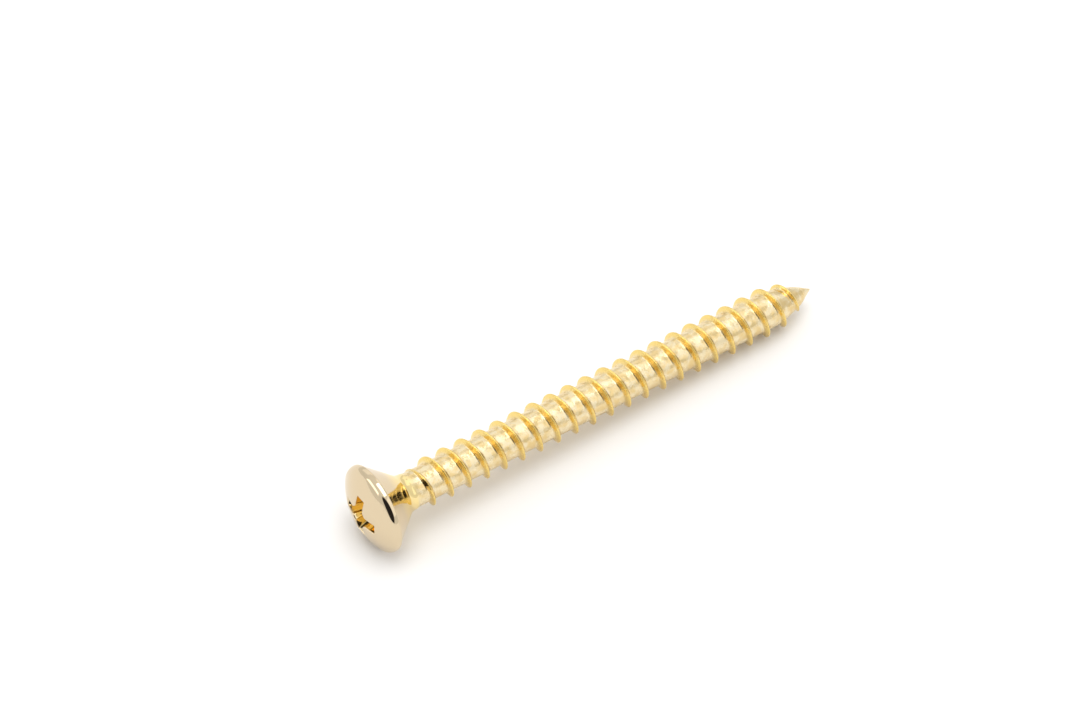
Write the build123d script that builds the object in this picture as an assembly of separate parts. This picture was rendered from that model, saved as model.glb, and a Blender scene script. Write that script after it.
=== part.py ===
from build123d import *

import os
from math import atan2, ceil, cos, floor, pi, radians, sin, tan

# Guitar neck screw in millimetres: raised countersunk head, cross recess, full thread
# and gimlet point, made in one piece. It lies on its side on Z = 0 as it comes to rest,
# point towards +X, with the origin under the middle of its box.

# Lengths along the screw's own axis, from the upper edge of the rim
screw_length = 45.0
point_length = 4.9
core_point_length = 3.9
tip_length = 1.5
tip_diameter = 1.8

# Head and neck
head_diameter = 8.0
rim_height = 0.45
rim_edge_chamfer = 0.08
dome_height = 1.33
seat_angle = 82.0
neck_diameter = 3.3
neck_fillet_radius = 1.1

# Core and rolled thread
core_diameter = 2.95
core_start = 3.65
core_step_length = 0.3
thread_diameter = 4.1
thread_pitch = 1.8
flank_angle = 60.0
run_out_start = 3.9
run_out_length = 1.7
thread_end_gap = 0.8
thread_end_length = 1.8
first_run_turns = 11

# Where one turn of the crest passes, and how the cross recess is turned about the axis
crest_place = 22.81
crest_bearing = 122.0
recess_bearing = -5.0

# Driver recess, measured at the top of the dome and at its floor
recess_span = 4.4
recess_floor_span = 1.7
wing_width = 1.05
wing_floor_width = 0.7
throat_width = 2.0
throat_floor_width = 1.0
recess_depth = 2.4
recess_tip_depth = 0.4
recess_tip_width = 0.1

# Allowances that leave no mark on the finished surface
root_overlap = 0.16
points_per_turn = 12
cutter_overrun = 0.5

head_radius = head_diameter / 2
neck_radius = neck_diameter / 2
core_radius = core_diameter / 2
thread_radius = thread_diameter / 2
dome_radius = (head_radius**2 + dome_height**2) / (2 * dome_height)
seat_length = (head_radius - neck_radius) / tan(radians(seat_angle / 2))
point_start = screw_length - point_length
thread_end = screw_length - thread_end_gap


# Share of the thread's radius left at a place along the point, where it closes in as a parabola
def point_taper(place):
    run = max(0.0, place - point_start) / point_length
    return 1 - run**2


# How far the thread has risen at a place, from 0 inside the core to 1 at its full height
def thread_rise(place):
    climb = min(1.0, max(0.0, (place - run_out_start) / run_out_length))
    fade = min(1.0, max(0.0, (thread_end - place) / thread_end_length))
    return sin(climb * pi / 2) * sin(fade * pi / 2)


# The crest climbs out of the core behind the neck, runs level and dies away near the tip
def crest_radius(place):
    sunk_radius = core_radius - root_overlap / 2
    level = sunk_radius + (thread_radius - sunk_radius) * thread_rise(place)
    return level * point_taper(place)


# A point beside the axis, which is X here; the bearing turns from +Y towards +Z
def beside_axis(place, radius, bearing):
    turn = radians(bearing)
    return Vector(place, radius * cos(turn), radius * sin(turn))


# Dome, rim, countersunk seat, neck, core and point as one turned form
def make_body():
    with BuildPart() as body:
        with BuildSketch(Plane.XY) as section:
            with BuildLine():
                RadiusArc((-dome_height, 0), (0, head_radius), dome_radius)
                Line((0, head_radius), (rim_height, head_radius))
                FilletPolyline(
                    (rim_height, head_radius),
                    (rim_height + seat_length, neck_radius),
                    (core_start, neck_radius),
                    radius=neck_fillet_radius,
                )
                Polyline(
                    (core_start, neck_radius),
                    (core_start + core_step_length, core_radius),
                    (screw_length - core_point_length, core_radius),
                    (screw_length - tip_length, tip_diameter / 2),
                    (screw_length, 0),
                    (-dome_height, 0),
                )
            make_face()
            rim_edges = section.vertices().group_by(Axis.Y)[-1]
            chamfer(rim_edges, rim_edge_chamfer)
        revolve(axis=Axis.X)
    return body.part


# A sharp right-hand ridge wound round the core, its root just under the core's surface
def make_ridge(first, last):
    steps = ceil((last - first) / thread_pitch * points_per_turn)
    lines = [[], [], []]
    for step in range(steps + 1):
        place = first + (last - first) * step / steps
        bearing = crest_bearing + 360 * (place - crest_place) / thread_pitch
        crest = crest_radius(place)
        root = (core_radius - root_overlap) * point_taper(place)
        half_root = (crest - root) * tan(radians(flank_angle / 2))
        lines[0].append(beside_axis(place - half_root, root, bearing))
        lines[1].append(beside_axis(place, crest, bearing))
        lines[2].append(beside_axis(place + half_root, root, bearing))
    shares = [step / steps for step in range(steps + 1)]
    edges = [Edge.make_spline(line, parameters=shares) for line in lines]
    sides = []
    for edge, next_edge in zip(edges, edges[1:] + edges[:1]):
        sides.append(Face.make_surface_from_curves(edge, next_edge))
    ends = [Face(Wire.make_polygon([line[end] for line in lines])) for end in (0, -1)]
    return Solid(Shell(sides + ends))


# The thread in two runs that share one section where they meet, half way along
def add_thread(body):
    middle = run_out_start + first_run_turns * thread_pitch
    threaded = body + make_ridge(run_out_start, middle)
    return threaded + make_ridge(middle, thread_end)


# A bar across the axis that narrows from one size at a place to another further in
def tapered_bar(start, start_size, end, end_size, bearing):
    with BuildPart() as bar:
        with BuildSketch(Plane.YZ.offset(start)):
            Rectangle(*start_size, rotation=bearing)
        with BuildSketch(Plane.YZ.offset(end)):
            Rectangle(*end_size, rotation=bearing)
        loft(ruled=True)
    return bar.part


# Cutter for the cross recess: two crossed wings, a throat between them, a pointed floor
def make_recess():
    overrun = cutter_overrun / recess_depth
    start = -dome_height - cutter_overrun
    end = -dome_height + recess_depth
    wing_end = (recess_floor_span, wing_floor_width)
    throat_end = (throat_floor_width, throat_floor_width)
    wing_start = (
        recess_span + (recess_span - recess_floor_span) * overrun,
        wing_width + (wing_width - wing_floor_width) * overrun,
    )
    throat_start_width = throat_width + (throat_width - throat_floor_width) * overrun
    throat_start = (throat_start_width, throat_start_width)
    tip_size = (recess_tip_width, recess_tip_width)
    cutter = tapered_bar(start, wing_start, end, wing_end, recess_bearing)
    cutter += tapered_bar(start, wing_start, end, wing_end, recess_bearing + 90)
    cutter += tapered_bar(start, throat_start, end, throat_end, recess_bearing + 45)
    cutter += tapered_bar(end, throat_end, end + recess_tip_depth, tip_size, recess_bearing + 45)
    return cutter


# The screw tips forward until its last full turn of thread meets the surface under the rim
def lie_down(screw):
    underside = crest_place + thread_pitch * (270 - crest_bearing) / 360
    turns = floor((point_start - underside) / thread_pitch)
    contact = underside + turns * thread_pitch
    tilt = atan2(head_radius - thread_radius, contact - rim_height)
    tipped = Rotation(0, tilt * 180 / pi, 0) * screw
    box = tipped.bounding_box()
    return Pos(-box.center().X, -box.center().Y, -box.min.Z) * tipped


neck_screw = lie_down(add_thread(make_body() - make_recess()))
print("solids", len(neck_screw.solids()), "valid", neck_screw.is_valid)

os.makedirs("parts", exist_ok=True)
export_step(neck_screw, "parts/neck_screw.step")
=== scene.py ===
import math

import bpy
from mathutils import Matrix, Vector, noise


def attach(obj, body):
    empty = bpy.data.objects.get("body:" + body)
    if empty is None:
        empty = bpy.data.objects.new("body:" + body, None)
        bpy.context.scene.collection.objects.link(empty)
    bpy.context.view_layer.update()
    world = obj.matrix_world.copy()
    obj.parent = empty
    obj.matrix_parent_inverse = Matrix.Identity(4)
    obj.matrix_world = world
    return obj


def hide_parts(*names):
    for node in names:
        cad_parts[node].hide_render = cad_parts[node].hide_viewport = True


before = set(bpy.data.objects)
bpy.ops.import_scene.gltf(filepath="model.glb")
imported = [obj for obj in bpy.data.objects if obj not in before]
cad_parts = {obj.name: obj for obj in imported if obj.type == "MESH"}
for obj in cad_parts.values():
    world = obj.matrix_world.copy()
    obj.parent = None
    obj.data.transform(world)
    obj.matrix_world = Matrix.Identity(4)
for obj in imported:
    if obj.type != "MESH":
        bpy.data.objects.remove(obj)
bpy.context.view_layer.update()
print("frame loaded")

# Millimetres and degrees for the screw, turned into metres only where a vertex is made.
# A place is a distance along the screw's axis, from the upper edge of the rim to the tip.
lying = {
    "rimMiddle": (-21.824, 0.0, 4.0195),
    "tip": 2.8406,             # how far the axis tips down to the point
}

tipAngle = math.radians(lying["tip"])
alongAxis = Vector((math.cos(tipAngle), 0, -math.sin(tipAngle)))
acrossAxis = Vector((0, 1, 0))
upAxis = Vector((math.sin(tipAngle), 0, math.cos(tipAngle)))


# A direction along the screw, across it and up from it, as it is once the screw lies down
def turned(along, across, up):
    return alongAxis * along + acrossAxis * across + upAxis * up


def lieDown(place, across, up):
    return (Vector(lying["rimMiddle"]) + turned(place, across, up)) * 0.001


# How far a value has come from a start over a length, from 0 to 1
def growth(value, start, length):
    return min(1.0, max(0.0, (value - start) / length))


# The larger of two radii, with the bend between them rounded over a blend
def softMax(a, b, blend):
    gap = max(blend - abs(a - b), 0.0) / blend
    return max(a, b) + gap * gap * blend / 4


def softMin(a, b, blend):
    return -softMax(-a, -b, blend)


head = {
    "radius": 4.0,
    "domeHeight": 1.33,
    "edgeRound": 0.72,         # roll of the dome's edge into the rim
    "rimHeight": 0.45,
    "rimRound": 0.1,
    "seatAngle": 82.0,
    "neckRadius": 1.65,
    "neckFillet": 1.1,
    "neckEnd": 3.65,
    "shadeStart": 1.5,          # where the head's pale painted highlight turns to deeper gold of painted shade, and over what length
    "shadeLength": 1.1,
    "domeSteps": 26,           # rows of faces on each part
    "edgeSteps": 14,
    "rimSteps": 6,
    "seatSteps": 12,
    "filletSteps": 12,
}

domeSphere = (head["radius"] ** 2 + head["domeHeight"] ** 2) / (2 * head["domeHeight"])
domeMiddle = domeSphere - head["domeHeight"]    # middle of the dome's sphere, as a place


def domePlace(radius):
    return domeMiddle - math.sqrt(domeSphere ** 2 - radius ** 2)


# The lean is the way a surface faces, from straight out of the axis towards the tip
def domeLean(radius):
    return math.asin(radius / domeSphere) - math.pi / 2


# Rolled edge, rim, seat and neck as (place, radius, lean) from the dome to the shank
def headProfile():
    radius, roll, small = head["radius"], head["edgeRound"], head["rimRound"]
    slope = math.radians(head["seatAngle"] / 2)
    profile = []
    steps = head["edgeSteps"]
    first = math.asin((radius - roll) / (domeSphere - roll))
    rollPlace = domeMiddle - (domeSphere - roll) * math.cos(first)
    for i in range(steps + 1):
        a = first + (math.pi / 2 - first) * i / steps
        spot = (rollPlace - roll * math.cos(a), radius - roll + roll * math.sin(a))
        profile.append((*spot, a - math.pi / 2))
    steps = head["rimSteps"]
    smallPlace = head["rimHeight"] - small * math.tan(slope / 2)
    for i in range(steps + 1):
        a = slope * i / steps
        spot = (smallPlace + small * math.sin(a), radius - small + small * math.cos(a))
        profile.append((*spot, a))
    # straight seat, then the hollow curve into the neck
    seatEnd = head["rimHeight"] + (radius - head["neckRadius"]) / math.tan(slope)
    fillet = head["neckFillet"]
    tangent = fillet * math.tan(slope / 2)
    lastPlace, lastRadius, lean = profile[-1]
    endPlace = seatEnd - tangent * math.cos(slope)
    endRadius = head["neckRadius"] + tangent * math.sin(slope)
    steps = head["seatSteps"]
    for i in range(1, steps + 1):
        t = i / steps
        spot = (lastPlace + (endPlace - lastPlace) * t, lastRadius + (endRadius - lastRadius) * t)
        profile.append((*spot, slope))
    steps = head["filletSteps"]
    for i in range(1, steps + 1):
        a = slope * (1 - i / steps)
        hollow = fillet * (1 - math.cos(a))
        profile.append((seatEnd + tangent - fillet * math.sin(a), head["neckRadius"] + hollow, a))
    return profile


recess = {
    "turn": -5.0,
    "span": (4.4, 1.7),        # across the wings, at the top and at the floor
    "wing": (1.05, 0.7),       # width of a wing
    "throat": (2.0, 1.0),      # width across the corners between the wings
    "corner": (0.1, 0.05),     # rounding of the outline's corners
    "cornerShare": 0.4,        # most that one corner may take of a side
    "cornerGrowth": 0.6,       # rounding gained for each millimetre the outline grows
    "depth": 2.4,
    "tipDepth": 0.4,
    "lip": 0.07,               # rounding of the upper edge
    "shadeStart": 0.05,         # depth where the pale gold turns deeper, painted shade in the recess, and over what length
    "shadeLength": 0.3,
    "sideSteps": (3, 6, 2),    # points on a wing's end, on its side and on the throat
    "bendSteps": (0.25, 0.5, 0.75),
    # rows: out from the middle of the floor, then up the wall, as shares
    "floorRows": (0.25, 0.5, 0.75, 0.93),
    "wallRows": (1.0, 0.95, 0.85, 0.72, 0.58, 0.44, 0.3, 0.17, 0.08),
    # as shares of the lip: how far under the dome the wall ends, then rows over the lip,
    # under the dome and outwards, and how far outwards the dome begins
    "wallTop": 2.0,
    "lipRows": ((1.3, 0.0), (0.75, 0.04), (0.35, 0.2), (0.1, 0.5), (0.0, 1.0)),
    "lipEnd": 1.6,
}


# One eighth of the cross's outline, from the middle of a wing's end to the diagonal,
# its corners rounded. The counts stay the same, so outlines join point to point.
def eighthOfCross(span, wing, throat, corner):
    inner = throat / math.sqrt(2) - wing / 2
    stops = [Vector((span / 2, 0)), Vector((span / 2, wing / 2)), Vector((inner, wing / 2))]
    stops.append(Vector((1, 1)) * throat / 2 / math.sqrt(2))
    most = recess["cornerShare"]
    points = []
    cut = 0.0
    for side, steps in enumerate(recess["sideSteps"]):
        start, end = stops[side], stops[side + 1]
        run = (end - start).length
        nextCut = min(corner, run * most) if side < 2 else 0.0
        for i in range(steps + (side < 2)):
            points.append(start.lerp(end, (cut + (run - cut - nextCut) * i / steps) / run))
        if side < 2:
            # a quarter bend over the corner, towards the next side
            after = stops[side + 2] - end
            cut = min(corner, after.length * most)
            leave, arrive = points[-1], end + after.normalized() * cut
            for t in recess["bendSteps"]:
                points.append(leave * (1 - t) ** 2 + end * 2 * t * (1 - t) + arrive * t * t)
    return points + [stops[3]]


# The whole outline at one depth, grown outwards by an allowance
def crossOutline(depth, grow):
    share = depth / recess["depth"]
    widths = []
    for name in ("span", "wing", "throat"):
        top, bottom = recess[name]
        widths.append(top + (bottom - top) * share + 2 * grow)
    top, bottom = recess["corner"]
    corner = top + (bottom - top) * share + grow * recess["cornerGrowth"]
    eighth = eighthOfCross(*widths, corner)
    quarter = eighth + [point.yx for point in reversed(eighth[1:-1])]
    outline = []
    for wingNumber in range(4):
        angle = math.radians(recess["turn"] + 90 * wingNumber)
        turn, lift = math.cos(angle), math.sin(angle)
        for x, y in quarter:
            outline.append((x * turn - y * lift, x * lift + y * turn))
    return outline


# Recess outline from under the dome (share 0) down to the floor (share 1). Each point's
# depth under the dome hangs on where it is, so it is found in a few tries.
def recessLine(share, below=0.0, grow=0.0):
    line = []
    for upper, lower in zip(crossOutline(0.0, grow), crossOutline(recess["depth"], grow)):
        point = Vector(upper)
        for attempt in range(4):
            underDome = domePlace(point.length) + head["domeHeight"] + below
            depth = underDome + (recess["depth"] - underDome) * share
            point = Vector(upper).lerp(Vector(lower), depth / recess["depth"])
        line.append((depth - head["domeHeight"], point.x, point.y))
    return line


thread = {
    "length": 45.0,
    "pointLength": 4.9,
    "tipLength": 1.5,
    "tipRadius": 0.9,
    "coneStart": 41.1,
    "coneBlend": 0.12,         # rounding where the core's cones meet
    "coreRadius": 1.555,
    "stepLength": 0.3,
    "crestRadius": 2.05,
    "pitch": 1.8,
    "crestPlace": 22.81,       # one place that the crest passes, and its bearing there
    "crestBearing": 122.0,
    "crestWidth": 0.06,
    "crestRound": 0.025,
    "flank": 27.5,
    "rootRound": 0.07,
    "runOutStart": 3.9,
    "runOutLength": 1.7,
    "runOutSunk": 0.16,        # how deep in the core the ridge begins and ends
    "end": 44.2,
    "endLength": 1.8,
    "waviness": 0.014,         # height of the unevenness left by rolling
    "wavesAlong": 0.9,         # waves along the screw and round it, then on the crest and core
    "wavesRound": 2.0,
    "crestWaves": 0.8,
    "coreWaves": 1.6,
    "coreWavesFrom": (7, 3, 1),    # where in the noise the core's waves start
    "coreWaviness": 0.5,       # how wavy the core is, as a share of the crest
    "ridgeShadeHeight": 0.25,         # height over the core where the ridge takes its deeper gold, a painted shade and reflection
    "rows": (0.0, 0.02, 0.04, 0.07, 0.14, 0.21, 0.27, 0.32, 0.4, 0.6),    # from the crest
}


# The core: the neck steps down to it, and two soft cones close it to the tip
def coreRadius(place):
    full, blend = thread["coreRadius"], thread["coneBlend"]
    step = growth(place, head["neckEnd"], thread["stepLength"])
    step = step * step * (3 - 2 * step)
    level = full + (head["neckRadius"] - full) * (1 - step)
    tipStart = thread["length"] - thread["tipLength"]
    share = (place - thread["coneStart"]) / (tipStart - thread["coneStart"])
    upper = full + (thread["tipRadius"] - full) * share
    lower = thread["tipRadius"] * (thread["length"] - place) / thread["tipLength"]
    return max(0.0, softMin(softMin(level, upper, blend), lower, blend))


# Radius of the rolled shank at a place, and how far up the ridge that is, from 0 to 1, which sets
# the ridge's painted shade
def shankRadius(place, fromCrest, bearing):
    climb = growth(place, thread["runOutStart"], thread["runOutLength"])
    fade = 1 - growth(place, thread["end"] - thread["endLength"], thread["endLength"])
    rise = math.sin(climb * math.pi / 2) * math.sin(fade * math.pi / 2)
    pointStart = thread["length"] - thread["pointLength"]
    closing = growth(place, pointStart, thread["pointLength"]) ** 2
    low = thread["coreRadius"] - thread["runOutSunk"]
    crest = (low + (thread["crestRadius"] - low) * rise) * (1 - closing)
    core = coreRadius(place)
    # waves from rolling, other ones on the core than on the crest
    across, up = math.cos(bearing), math.sin(bearing)
    around = thread["wavesRound"]
    spot = Vector((place * thread["wavesAlong"], across * around, up * around))
    crest += thread["waviness"] * noise.noise(spot * thread["crestWaves"]) * rise
    coreSpot = spot * thread["coreWaves"] + Vector(thread["coreWavesFrom"])
    core += thread["waviness"] * thread["coreWaviness"] * noise.noise(coreSpot) * rise
    beyond = max(0.0, abs(fromCrest) - thread["crestWidth"] / 2)
    fall = beyond / math.tan(math.radians(thread["flank"]))
    bend = thread["crestRound"]
    ridge = softMin(crest, crest + bend - fall, bend * 2)
    radius = softMax(core, ridge, thread["rootRound"])
    return radius, growth(radius, core, thread["ridgeShadeHeight"])


columns = len(crossOutline(0.0, 0.0))    # points round the screw, from the recess to the tip
foldGap = {"neck": 0.02, "tip": 0.01}    # how near an end a thread row folds into it


def makeScrewMesh():
    points, normals, faces = [], [], []
    shares = {"shadedGoldShare": [], "rolledShare": [], "ridgeShadeShare": []}

    # without a lean, the vertex takes its direction from the faces round it
    def addPoint(place, across, up, lean=None, ridge=0.0):
        points.append(lieDown(place, across, up))
        if lean is None:
            normals.append(Vector((0, 0, 0)))
        else:
            side = Vector((across, up)).normalized() * math.cos(lean)
            normals.append(turned(math.sin(lean), side.x, side.y))
        radius = math.hypot(across, up)
        # painted light: the head keeps a pale painted highlight, and up the seat and down in the
        # recess it turns to deeper gold, painted shade and reflection
        shadedGold = growth(place, head["shadeStart"], head["shadeLength"])
        if place < head["shadeStart"] and radius < recess["span"][0] / 2:
            depth = place - domePlace(radius)
            shadedGold = max(shadedGold, growth(depth, recess["shadeStart"], recess["shadeLength"]))
        shares["shadedGoldShare"].append(shadedGold)
        shares["rolledShare"].append(growth(place, head["neckEnd"], thread["stepLength"]))
        shares["ridgeShadeShare"].append(ridge)
        return len(points) - 1

    def addRound(place, radius, bearing, lean=None, ridge=0.0):
        across, up = radius * math.cos(bearing), radius * math.sin(bearing)
        return addPoint(place, across, up, lean, ridge)

    def joinRings(a, b):
        for i in range(columns):
            j = (i + 1) % columns
            faces.append((a[i], a[j], b[j], b[i]))

    # recess: a point in the floor, rings across it, walls, rounded lip
    rings = []
    floorPlace = recess["depth"] - head["domeHeight"]
    deepest = addPoint(floorPlace + recess["tipDepth"], 0, 0)
    for share in recess["floorRows"]:
        ring = []
        for place, y, z in recessLine(1.0):
            near = max(0.0, 1 - math.hypot(y, z) * share / (recess["throat"][1] / 2))
            ring.append(addPoint(floorPlace + recess["tipDepth"] * near, y * share, z * share))
        rings.append(ring)
    lip = recess["lip"]
    for share in recess["wallRows"]:
        rings.append([addPoint(*spot) for spot in recessLine(share, lip * recess["wallTop"])])
    for below, grow in recess["lipRows"]:
        rings.append([addPoint(*spot) for spot in recessLine(0.0, lip * below, lip * grow)])
    lipLine = recessLine(0.0, 0.0, lip * recess["lipEnd"])
    rings.append([addPoint(*spot, domeLean(math.hypot(*spot[1:]))) for spot in lipLine])
    for i in range(columns):
        faces.append((deepest, rings[0][(i + 1) % columns], rings[0][i]))

    # dome, out from the lip to the rolled edge, the points moving round to even spacing
    profile = headProfile()
    edgeRadius = profile[0][1]
    firstBearing = math.atan2(lipLine[0][2], lipLine[0][1])
    even = [firstBearing + 2 * math.pi * i / columns for i in range(columns)]
    for step in range(1, head["domeSteps"]):
        share = step / head["domeSteps"]
        ring = []
        for (place, y, z), bearing in zip(lipLine, even):
            radius = math.hypot(y, z) * (1 - share) + edgeRadius * share
            aside = math.remainder(math.atan2(z, y) - bearing, 2 * math.pi) * (1 - share)
            ring.append(addRound(domePlace(radius), radius, bearing + aside, domeLean(radius)))
        rings.append(ring)
    for place, radius, lean in profile:
        rings.append([addRound(place, radius, bearing, lean) for bearing in even])
    for a, b in zip(rings, rings[1:]):
        joinRings(a, b)

    # shank: rows run along the thread, so each crest is one clean line
    pitch, near = thread["pitch"], thread["rows"]
    offsets = near + (pitch / 2,) + tuple(pitch - gap for gap in reversed(near[1:]))
    perTurn = len(offsets)
    neckPlace = profile[-1][0]
    # two turns to spare at each end; their rows fold into the neck and the tip
    firstTurn = math.floor((neckPlace - thread["crestPlace"]) / pitch) - 2
    lastTurn = math.ceil((thread["length"] - thread["crestPlace"]) / pitch) + 2
    rows = (lastTurn - firstTurn) * perTurn
    crestBearing = math.radians(thread["crestBearing"])
    ahead = [((bearing - crestBearing) / (2 * math.pi)) % 1.0 for bearing in even]
    tipPoint = addPoint(thread["length"], 0, 0)
    grid = []
    for i in range(columns):
        column = []
        for row in range(rows):
            turn, part = divmod(row, perTurn)
            turns = firstTurn + turn + ahead[i]
            place = thread["crestPlace"] + pitch * turns + offsets[part]
            if place <= neckPlace + foldGap["neck"]:
                column.append(rings[-1][i])
            elif place >= thread["length"] - foldGap["tip"]:
                column.append(tipPoint)
            else:
                past = offsets[part]
                fromCrest = past if past <= pitch / 2 else past - pitch
                radius, ridge = shankRadius(place, fromCrest, even[i])
                column.append(addRound(place, radius, even[i], None, ridge))
        grid.append(column)
    for i in range(columns):
        j = (i + 1) % columns
        shift = perTurn if ahead[j] < ahead[i] else 0    # the next column starts a turn lower
        for row in range(rows - 1 - shift):
            other = row + shift
            corners = (grid[i][row], grid[j][other], grid[j][other + 1], grid[i][row + 1])
            corners = tuple(dict.fromkeys(corners))
            if len(corners) > 2:
                faces.append(corners)

    mesh = bpy.data.meshes.new("neckScrew")
    mesh.from_pydata([tuple(point) for point in points], [], faces)
    mesh.validate()
    for name, values in shares.items():
        mesh.attributes.new(name, "FLOAT", "POINT").data.foreach_set("value", values)
    mesh.shade_smooth()
    mesh.normals_split_custom_set_from_vertices([tuple(normal) for normal in normals])
    return mesh


# A blend of two tones; each is a colour of its own or comes from another node
def mixTones(tree, factor, first, second):
    mix = tree.nodes.new("ShaderNodeMix")
    mix.data_type = "RGBA"
    tree.links.new(factor, mix.inputs[0])
    for socket, tone in ((mix.inputs[6], first), (mix.inputs[7], second)):
        if isinstance(tone, tuple):
            socket.default_value = (*tone, 1)
        else:
            tree.links.new(tone, socket)
    return mix.outputs[2]


plating = {
    # painted light: the head's pale gold is a painted highlight; the neck's deeper gold is also
    # what the recess turns to as painted shade
    "head": (0.69, 0.565, 0.38),
    "neck": (0.88, 0.70, 0.33),
    # painted light: the root's paler, whiter gold is a painted highlight, and the ridge's deeper
    # gold a painted shade and reflection on the flanks
    "root": (0.74, 0.56, 0.27),
    # painted highlight: paler patches on the root stand for its mottled highlights
    "rootHighlightSpots": (0.84, 0.72, 0.47),
    "ridge": (0.86, 0.64, 0.22),
    "headRoughness": 0.06,
    "threadRoughness": (0.12, 0.32),    # between the spots and on them
    "spots": {"Scale": 1500.0, "Detail": 2.0},
    "spotEdge": (0.38, 0.62),           # how sharply the spots end
    "pits": {"Scale": 1900.0, "Detail": 3.0, "Roughness": 0.65},
    "pitDepth": 0.00005,                # metres
    "pitting": 0.85,
    "headPitting": 0.01,
}


# Gold over nickel: smooth on the head, pitted where the thread was rolled; its tones hold painted
# light, pale for painted highlights and deeper for painted shade and reflection
def makePlating():
    material = bpy.data.materials.new("goldPlating")
    material.use_nodes = True
    tree = material.node_tree
    nodes, links = tree.nodes, tree.links
    shader = nodes["Principled BSDF"]
    shader.inputs["Metallic"].default_value = 1.0
    coordinates = nodes.new("ShaderNodeTexCoord")

    def readShare(name):
        share = nodes.new("ShaderNodeAttribute")
        share.attribute_name = name
        return share.outputs["Fac"]

    def addNoise(settings):
        grain = nodes.new("ShaderNodeTexNoise")
        for name, value in settings.items():
            grain.inputs[name].default_value = value
        links.new(coordinates.outputs["Object"], grain.inputs["Vector"])
        return grain.outputs["Fac"]

    def addRange(value, ends, names):
        spread = nodes.new("ShaderNodeMapRange")
        for name, end in zip(names, ends):
            spread.inputs[name].default_value = end
        links.new(value, spread.inputs["Value"])
        return spread.outputs["Result"]

    rolled = readShare("rolledShare")
    pits = addNoise(plating["pits"])
    spots = addRange(addNoise(plating["spots"]), plating["spotEdge"], ("From Min", "From Max"))

    # tones, painted light among them: the pale head as painted highlight, the neck, then the root
    # with its pale spots of painted highlight, then the ridge in deeper gold as painted shade
    root = mixTones(tree, spots, plating["root"], plating["rootHighlightSpots"])
    rolledTone = mixTones(tree, readShare("ridgeShadeShare"), root, plating["ridge"])
    shank = mixTones(tree, rolled, plating["neck"], rolledTone)
    tone = mixTones(tree, readShare("shadedGoldShare"), plating["head"], shank)
    links.new(tone, shader.inputs["Base Color"])

    finish = nodes.new("ShaderNodeMix")
    finish.data_type = "FLOAT"
    finish.inputs[2].default_value = plating["headRoughness"]
    links.new(rolled, finish.inputs[0])
    threadFinish = addRange(spots, plating["threadRoughness"], ("To Min", "To Max"))
    links.new(threadFinish, finish.inputs[3])
    links.new(finish.outputs[0], shader.inputs["Roughness"])

    strength = nodes.new("ShaderNodeMath")
    strength.operation = "MULTIPLY_ADD"
    strength.inputs[1].default_value = plating["pitting"]
    strength.inputs[2].default_value = plating["headPitting"]
    links.new(rolled, strength.inputs[0])
    bump = nodes.new("ShaderNodeBump")
    bump.inputs["Distance"].default_value = plating["pitDepth"]
    links.new(strength.outputs[0], bump.inputs["Strength"])
    links.new(pits, bump.inputs["Height"])
    links.new(bump.outputs["Normal"], shader.inputs["Normal"])
    return material


screw = bpy.data.objects.new("goldNeckScrew", makeScrewMesh())
bpy.context.scene.collection.objects.link(screw)
screw.data.materials.append(makePlating())
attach(screw, "root")
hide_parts("neck_screw")
triangles = sum(len(face.vertices) - 2 for face in screw.data.polygons)
print("screw made,", triangles, "triangles")

floorPaper = {
    "tone": (0.96, 0.95, 0.94),
    "size": 1.6,               # metres
    "roughness": 0.85,
    "shine": 0.2,
}


def makeFloor():
    side = floorPaper["size"] / 2
    corners = [(-side, -side, 0), (side, -side, 0), (side, side, 0), (-side, side, 0)]
    mesh = bpy.data.meshes.new("paleFloor")
    mesh.from_pydata(corners, [], [(0, 1, 2, 3)])
    floor = bpy.data.objects.new("paleFloor", mesh)
    bpy.context.scene.collection.objects.link(floor)
    material = bpy.data.materials.new("palePaper")
    material.use_nodes = True
    shader = material.node_tree.nodes["Principled BSDF"]
    shader.inputs["Base Color"].default_value = (*floorPaper["tone"], 1)
    shader.inputs["Roughness"].default_value = floorPaper["roughness"]
    shader.inputs["Specular IOR Level"].default_value = floorPaper["shine"]
    mesh.materials.append(material)


tent = {
    "strength": 0.95,
    "tones": ((0.0, 0.95), (0.3, 0.9), (0.9, 1.05)),    # by height, from the horizon up
    "opening": (-0.62, -0.63, 0.47),    # direction of the tent's opening
    "openingAngle": 31.0,
    "openingEdge": 3.0,        # softness of the opening's edge
    "openingTone": (0.03, 0.028, 0.03),
    "background": (1.0, 1.0, 1.0),
}


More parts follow.
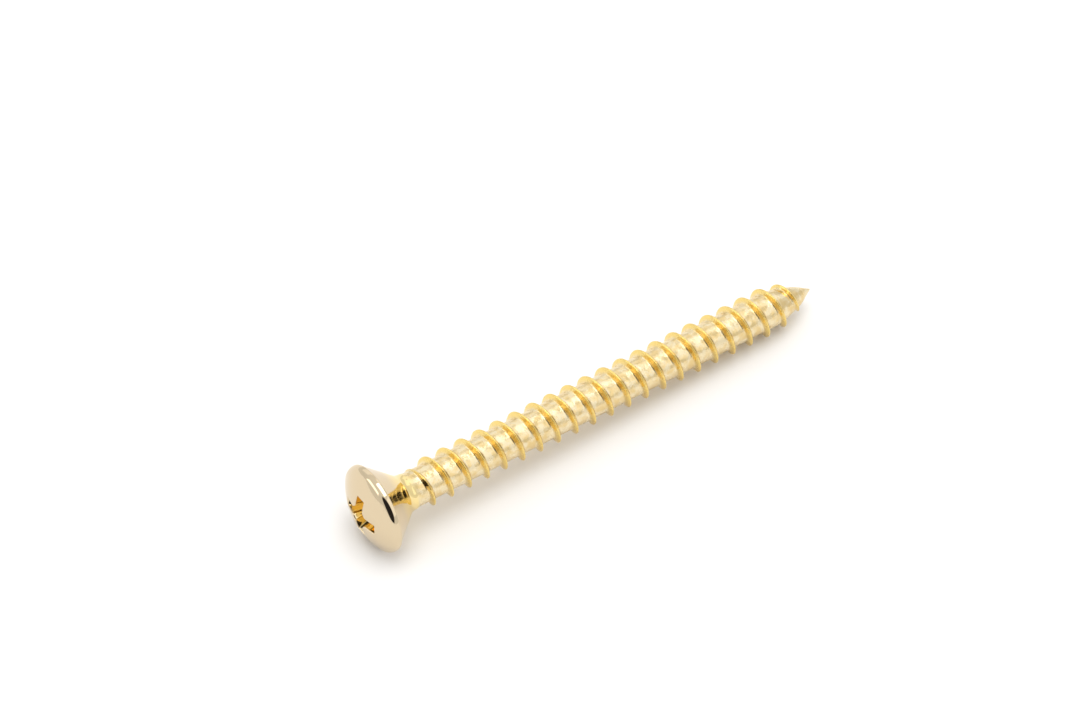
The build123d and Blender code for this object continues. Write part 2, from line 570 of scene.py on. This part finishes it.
# White air all round like a light tent, with its dark opening to the left of the camera
def lightAir():
    world = bpy.data.worlds.new("whiteTent")
    world.use_nodes = True
    tree = world.node_tree
    nodes, links = tree.nodes, tree.links
    sky = nodes["Background"]
    sky.inputs["Strength"].default_value = tent["strength"]
    coordinates = nodes.new("ShaderNodeTexCoord")
    split = nodes.new("ShaderNodeSeparateXYZ")
    links.new(coordinates.outputs["Generated"], split.inputs[0])
    cloth = nodes.new("ShaderNodeValToRGB")
    stops = cloth.color_ramp.elements
    stops.new(0.5)    # the ramp has two, and all three are set next
    for stop, (position, tone) in zip(stops, tent["tones"]):
        stop.position, stop.color = position, (tone, tone, tone, 1)
    links.new(split.outputs["Z"], cloth.inputs[0])

    towards = nodes.new("ShaderNodeVectorMath")
    towards.operation = "DOT_PRODUCT"
    towards.inputs[1].default_value = Vector(tent["opening"]).normalized()
    links.new(coordinates.outputs["Generated"], towards.inputs[0])
    opening = nodes.new("ShaderNodeMapRange")
    opening.interpolation_type = "SMOOTHSTEP"
    outer = math.radians(tent["openingAngle"] + tent["openingEdge"])
    inner = math.radians(tent["openingAngle"] - tent["openingEdge"])
    opening.inputs["From Min"].default_value = math.cos(outer)
    opening.inputs["From Max"].default_value = math.cos(inner)
    links.new(towards.outputs["Value"], opening.inputs["Value"])

    clothTone = cloth.outputs["Color"]
    air = mixTones(tree, opening.outputs["Result"], clothTone, tent["openingTone"])
    # the camera itself sees plain pale air
    path = nodes.new("ShaderNodeLightPath")
    seen = mixTones(tree, path.outputs["Is Camera Ray"], air, tent["background"])
    links.new(seen, sky.inputs["Color"])
    bpy.context.scene.world = world


# Where each softbox stands and its size, in metres, and its power in watts; all face the screw
softboxes = {
    "topSoftbox": {"place": (0.0, 0.0, 0.7), "size": (0.45, 0.45), "power": 1.5},
    "frontSoftbox": {"place": (0.115, -0.431, 0.401), "size": (0.46, 0.5), "power": 0.26},
    "rightSoftbox": {"place": (0.36, 0.18, 0.45), "size": (0.35, 0.35), "power": 0.14},
    "windowSoftbox": {"place": (-0.497, 0.232, 0.244), "size": (0.36, 0.25), "power": 0.34},
    "backSoftbox": {"place": (0.15, 0.55, 0.3), "size": (0.6, 0.3), "power": 0.17},
}


def hangSoftboxes():
    for name, softbox in softboxes.items():
        light = bpy.data.lights.new(name, "AREA")
        light.shape = "RECTANGLE"
        light.size, light.size_y = softbox["size"]
        light.energy = softbox["power"]
        lamp = bpy.data.objects.new(name, light)
        lamp.location = softbox["place"]
        facing = -Vector(softbox["place"])
        lamp.rotation_euler = facing.to_track_quat("-Z", "Y").to_euler()
        bpy.context.scene.collection.objects.link(lamp)


viewpoint = {
    "azimuth": -34.0,
    "elevation": 52.6,
    "distance": 0.55589,
    "lens": 217.65,
    "sensor": 36,
    "nearest": 0.01,
    "aim": (-0.00035, 0.00668, 0.002),
}


def standCamera():
    lens = bpy.data.cameras.new("camera")
    lens.sensor_width = viewpoint["sensor"]
    lens.lens = viewpoint["lens"]
    lens.clip_start = viewpoint["nearest"]
    camera = bpy.data.objects.new("camera", lens)
    azimuth = math.radians(viewpoint["azimuth"])
    elevation = math.radians(viewpoint["elevation"])
    level = math.cos(elevation)
    back = Vector((math.sin(azimuth) * level, -math.cos(azimuth) * level, math.sin(elevation)))
    camera.location = Vector(viewpoint["aim"]) + back * viewpoint["distance"]
    camera.rotation_euler = (-back).to_track_quat("-Z", "Y").to_euler()
    bpy.context.scene.collection.objects.link(camera)
    bpy.context.scene.camera = camera


makeFloor()
lightAir()
hangSoftboxes()
standCamera()
bpy.context.scene.view_settings.view_transform = "Standard"
print("studio ready")
